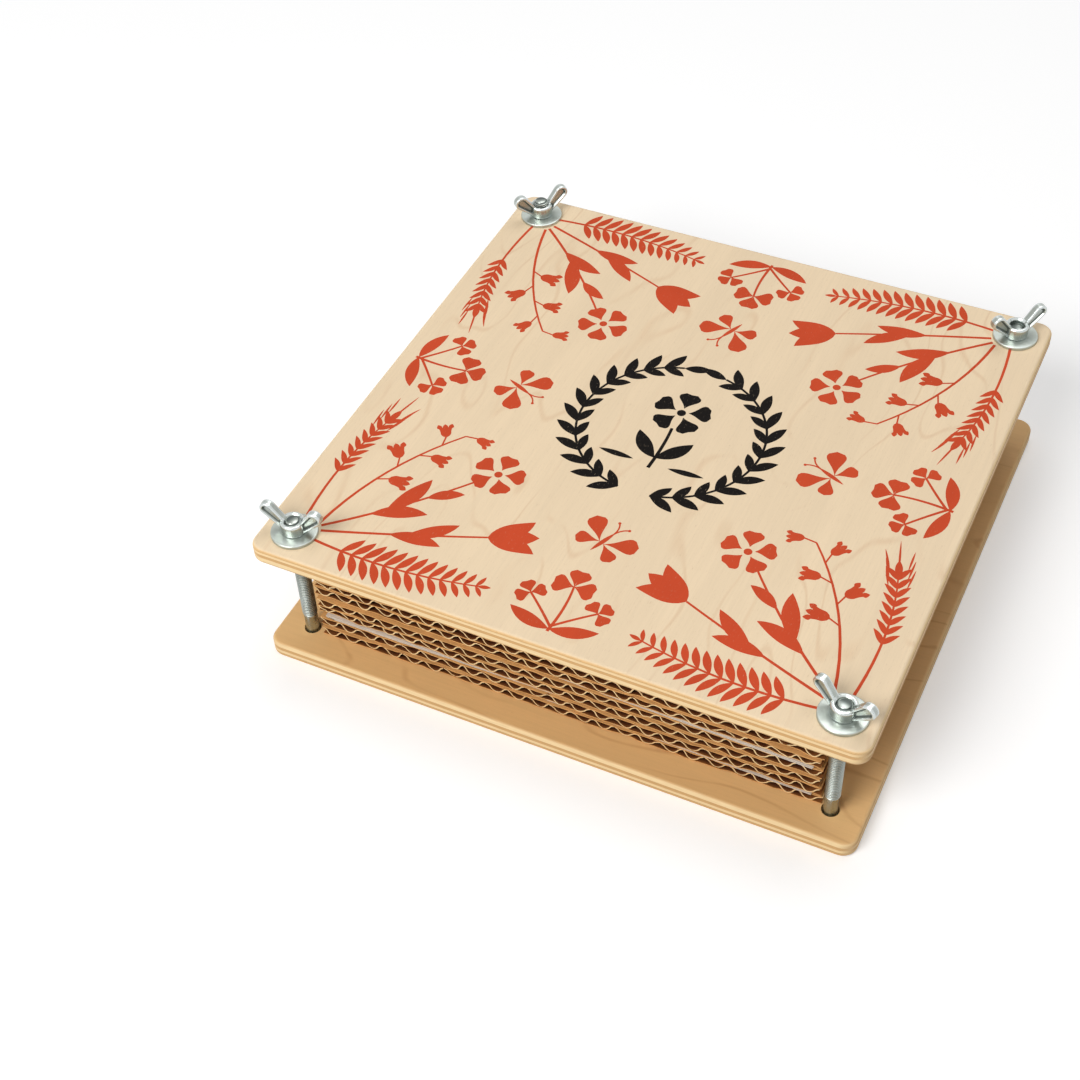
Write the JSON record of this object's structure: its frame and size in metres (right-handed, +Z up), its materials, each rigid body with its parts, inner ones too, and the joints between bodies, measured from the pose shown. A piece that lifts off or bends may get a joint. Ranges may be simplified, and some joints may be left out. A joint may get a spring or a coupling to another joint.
{
  "type": "flower press",
  "caption": "Square plywood press: two boards clamp a stack of corrugated cards and blotting papers between corner bolts with washers and wing nuts.",
  "frame": {"origin": "middle of the underside that the press stands on", "axes": "+X to the right along the front edge, +Y to the back, +Z up, from the underside to the wing nuts"},
  "size_m": [0.2, 0.2, 0.0616],
  "materials": {
    "bottom_plywood": "clear oiled plywood",
    "top_plywood": "pale sanded plywood",
    "zinc_bolt": "bright zinc plate",
    "zinc_washer": "bright zinc plate",
    "zinc_nut": "bright zinc plate",
    "cardboard": "plain brown corrugated card",
    "blotting_paper": "soft unsized paper"
  },
  "bodies": {
    "base": {"bottom_board": "bottom_plywood", "bolt_front_left": "zinc_bolt", "bolt_front_right": "zinc_bolt", "bolt_back_left": "zinc_bolt", "bolt_back_right": "zinc_bolt"},
    "lid": {"top_board": "top_plywood", "washer_front_left": "zinc_washer", "washer_front_right": "zinc_washer", "washer_back_left": "zinc_washer", "washer_back_right": "zinc_washer"},
    "wing_nut_front_left": {"wing_nut_front_left": "zinc_nut"},
    "wing_nut_front_right": {"wing_nut_front_right": "zinc_nut"},
    "wing_nut_back_left": {"wing_nut_back_left": "zinc_nut"},
    "wing_nut_back_right": {"wing_nut_back_right": "zinc_nut"},
    "corrugated_card_1": {"corrugated_card_1": "cardboard"},
    "blotting_paper_1": {"blotting_paper_1": "blotting_paper"},
    "corrugated_card_2": {"corrugated_card_2": "cardboard"},
    "blotting_paper_2": {"blotting_paper_2": "blotting_paper"},
    "blotting_paper_3": {"blotting_paper_3": "blotting_paper"},
    "corrugated_card_3": {"corrugated_card_3": "cardboard"},
    "corrugated_card_4": {"corrugated_card_4": "cardboard"},
    "blotting_paper_4": {"blotting_paper_4": "blotting_paper"},
    "blotting_paper_5": {"blotting_paper_5": "blotting_paper"},
    "corrugated_card_5": {"corrugated_card_5": "cardboard"},
    "corrugated_card_6": {"corrugated_card_6": "cardboard"},
    "blotting_paper_6": {"blotting_paper_6": "blotting_paper"},
    "blotting_paper_7": {"blotting_paper_7": "blotting_paper"},
    "corrugated_card_7": {"corrugated_card_7": "cardboard"},
    "corrugated_card_8": {"corrugated_card_8": "cardboard"},
    "blotting_paper_8": {"blotting_paper_8": "blotting_paper"},
    "corrugated_card_9": {"corrugated_card_9": "cardboard"}
  },
  "joints": [
    {"name": "lid_lift", "type": "slide", "parent": "base", "child": "lid", "axis": [0, 0, 1], "range_m": [0, 0.024]},
    {"name": "wing_nut_front_left_turn", "type": "hinge", "parent": "lid", "child": "wing_nut_front_left", "pos_m": [-0.089, -0.089, 0.052], "axis": [0, 0, 1], "range_deg": [0, 10801.08]},
    {"name": "wing_nut_front_right_turn", "type": "hinge", "parent": "lid", "child": "wing_nut_front_right", "pos_m": [0.089, -0.089, 0.052], "axis": [0, 0, 1], "range_deg": [0, 10801.08]},
    {"name": "wing_nut_back_left_turn", "type": "hinge", "parent": "lid", "child": "wing_nut_back_left", "pos_m": [-0.089, 0.089, 0.052], "axis": [0, 0, 1], "range_deg": [0, 10801.08]},
    {"name": "wing_nut_back_right_turn", "type": "hinge", "parent": "lid", "child": "wing_nut_back_right", "pos_m": [0.089, 0.089, 0.052], "axis": [0, 0, 1], "range_deg": [0, 10801.08]},
    {"name": "corrugated_card_1_lift", "type": "slide", "parent": "base", "child": "corrugated_card_1", "axis": [0, 0, 1], "range_m": [0, 0.00133]},
    {"name": "blotting_paper_1_lift", "type": "slide", "parent": "base", "child": "blotting_paper_1", "axis": [0, 0, 1], "range_m": [0, 0.00267]},
    {"name": "corrugated_card_2_lift", "type": "slide", "parent": "base", "child": "corrugated_card_2", "axis": [0, 0, 1], "range_m": [0, 0.004]},
    {"name": "blotting_paper_2_lift", "type": "slide", "parent": "base", "child": "blotting_paper_2", "axis": [0, 0, 1], "range_m": [0, 0.00533]},
    {"name": "blotting_paper_3_lift", "type": "slide", "parent": "base", "child": "blotting_paper_3", "axis": [0, 0, 1], "range_m": [0, 0.00667]},
    {"name": "corrugated_card_3_lift", "type": "slide", "parent": "base", "child": "corrugated_card_3", "axis": [0, 0, 1], "range_m": [0, 0.008]},
    {"name": "corrugated_card_4_lift", "type": "slide", "parent": "base", "child": "corrugated_card_4", "axis": [0, 0, 1], "range_m": [0, 0.00933]},
    {"name": "blotting_paper_4_lift", "type": "slide", "parent": "base", "child": "blotting_paper_4", "axis": [0, 0, 1], "range_m": [0, 0.01067]},
    {"name": "blotting_paper_5_lift", "type": "slide", "parent": "base", "child": "blotting_paper_5", "axis": [0, 0, 1], "range_m": [0, 0.012]},
    {"name": "corrugated_card_5_lift", "type": "slide", "parent": "base", "child": "corrugated_card_5", "axis": [0, 0, 1], "range_m": [0, 0.01333]},
    {"name": "corrugated_card_6_lift", "type": "slide", "parent": "base", "child": "corrugated_card_6", "axis": [0, 0, 1], "range_m": [0, 0.01467]},
    {"name": "blotting_paper_6_lift", "type": "slide", "parent": "base", "child": "blotting_paper_6", "axis": [0, 0, 1], "range_m": [0, 0.016]},
    {"name": "blotting_paper_7_lift", "type": "slide", "parent": "base", "child": "blotting_paper_7", "axis": [0, 0, 1], "range_m": [0, 0.01734]},
    {"name": "corrugated_card_7_lift", "type": "slide", "parent": "base", "child": "corrugated_card_7", "axis": [0, 0, 1], "range_m": [0, 0.01867]},
    {"name": "corrugated_card_8_lift", "type": "slide", "parent": "base", "child": "corrugated_card_8", "axis": [0, 0, 1], "range_m": [0, 0.02]},
    {"name": "blotting_paper_8_lift", "type": "slide", "parent": "base", "child": "blotting_paper_8", "axis": [0, 0, 1], "range_m": [0, 0.02134]},
    {"name": "corrugated_card_9_lift", "type": "slide", "parent": "base", "child": "corrugated_card_9", "axis": [0, 0, 1], "range_m": [0, 0.02267]}
  ],
  "couplings": [
    {"joint": "wing_nut_front_left_turn", "follows": "lid_lift", "rad_per_m": 7854},
    {"joint": "wing_nut_front_right_turn", "follows": "lid_lift", "rad_per_m": 7854},
    {"joint": "wing_nut_back_left_turn", "follows": "lid_lift", "rad_per_m": 7854},
    {"joint": "wing_nut_back_right_turn", "follows": "lid_lift", "rad_per_m": 7854},
    {"joint": "corrugated_card_1_lift", "follows": "lid_lift", "ratio": 0.055556},
    {"joint": "blotting_paper_1_lift", "follows": "lid_lift", "ratio": 0.11111},
    {"joint": "corrugated_card_2_lift", "follows": "lid_lift", "ratio": 0.16667},
    {"joint": "blotting_paper_2_lift", "follows": "lid_lift", "ratio": 0.22222},
    {"joint": "blotting_paper_3_lift", "follows": "lid_lift", "ratio": 0.27778},
    {"joint": "corrugated_card_3_lift", "follows": "lid_lift", "ratio": 0.33333},
    {"joint": "corrugated_card_4_lift", "follows": "lid_lift", "ratio": 0.38889},
    {"joint": "blotting_paper_4_lift", "follows": "lid_lift", "ratio": 0.44444},
    {"joint": "blotting_paper_5_lift", "follows": "lid_lift", "ratio": 0.5},
    {"joint": "corrugated_card_5_lift", "follows": "lid_lift", "ratio": 0.55556},
    {"joint": "corrugated_card_6_lift", "follows": "lid_lift", "ratio": 0.61111},
    {"joint": "blotting_paper_6_lift", "follows": "lid_lift", "ratio": 0.66667},
    {"joint": "blotting_paper_7_lift", "follows": "lid_lift", "ratio": 0.72222},
    {"joint": "corrugated_card_7_lift", "follows": "lid_lift", "ratio": 0.77778},
    {"joint": "corrugated_card_8_lift", "follows": "lid_lift", "ratio": 0.83333},
    {"joint": "blotting_paper_8_lift", "follows": "lid_lift", "ratio": 0.88889},
    {"joint": "corrugated_card_9_lift", "follows": "lid_lift", "ratio": 0.94444}
  ]
}
